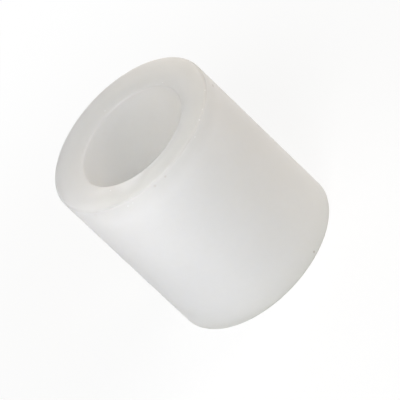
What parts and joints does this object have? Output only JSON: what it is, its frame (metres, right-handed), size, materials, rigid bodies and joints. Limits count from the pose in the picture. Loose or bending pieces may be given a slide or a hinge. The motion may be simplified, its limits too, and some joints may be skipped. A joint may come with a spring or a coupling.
{
  "type": "round spacer",
  "caption": "Round spacer: a short thick-walled tube of natural nylon with flat ends and a straight clearance bore, slipped over a screw to hold two parts apart.",
  "frame": {"origin": "on the bore axis, in the plane of the bottom end face that the spacer stands on", "axes": "+Z along the bore axis, from the bottom end face to the top one; the part is round, so X and Y are free"},
  "size_m": [0.013, 0.013, 0.014],
  "materials": {
    "natural_nylon": "smooth satin, off-white and slightly translucent"
  },
  "bodies": {
    "root": {"spacer": "natural_nylon"}
  },
  "joints": []
}
